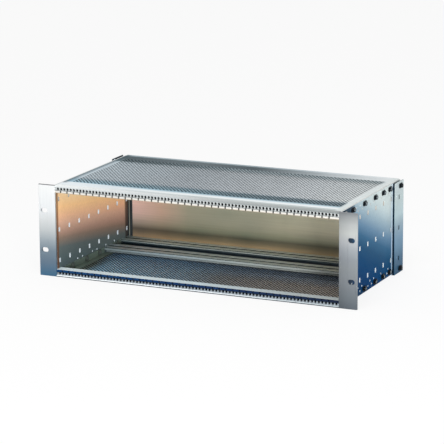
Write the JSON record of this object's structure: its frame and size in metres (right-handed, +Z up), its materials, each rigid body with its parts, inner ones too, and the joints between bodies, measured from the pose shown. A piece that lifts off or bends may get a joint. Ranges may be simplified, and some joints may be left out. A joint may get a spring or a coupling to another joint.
{
  "type": "subrack card cage",
  "caption": "Open-fronted metal card cage for a 19 inch rack, with slotted side walls, perforated covers, card rails and two rack flanges.",
  "frame": {"origin": "centre of the four rack slots, on the front face of the rack flanges", "axes": "+X across the rack to the right seen from the front, +Y from the front to the back, +Z up"},
  "size_m": [0.4826, 0.2298, 0.1326],
  "materials": {
    "passivated_sheet": "passivated sheet, satin with a faint warm tint",
    "brushed_flange": "satin",
    "rail_aluminium": "extruded, satin",
    "perforated_sheet": "passivated perforated sheet",
    "strip_steel": "plated",
    "plated_steel": "zinc plated",
    "blackened_steel": "blackened",
    "gasket_rubber": "matt"
  },
  "bodies": {
    "root": {"side_panel_left": "passivated_sheet", "side_panel_right": "passivated_sheet", "rack_flange_left": "brushed_flange", "rack_flange_right": "brushed_flange", "rear_bracket_left": "passivated_sheet", "rear_bracket_right": "passivated_sheet", "bracket_bushes_left": "plated_steel", "bracket_bushes_right": "plated_steel", "gasket_left": "gasket_rubber", "gasket_right": "gasket_rubber", "clamp_washers_left": "blackened_steel", "clamp_washers_right": "blackened_steel", "cover_screws_left": "plated_steel", "cover_screws_right": "plated_steel", "rail_screws_left": "plated_steel", "rail_screws_right": "plated_steel", "cover_nuts_left": "plated_steel", "cover_nuts_right": "plated_steel", "front_rail_lower": "rail_aluminium", "front_rail_upper": "rail_aluminium", "threaded_strip_lower": "strip_steel", "threaded_strip_upper": "strip_steel", "middle_rail_lower": "rail_aluminium", "middle_rail_upper": "rail_aluminium", "rear_rail_lower": "rail_aluminium", "rear_rail_upper": "rail_aluminium", "top_cover": "perforated_sheet", "bottom_cover": "perforated_sheet", "rear_panel": "passivated_sheet", "rear_panel_screws": "plated_steel"}
  },
  "joints": []
}
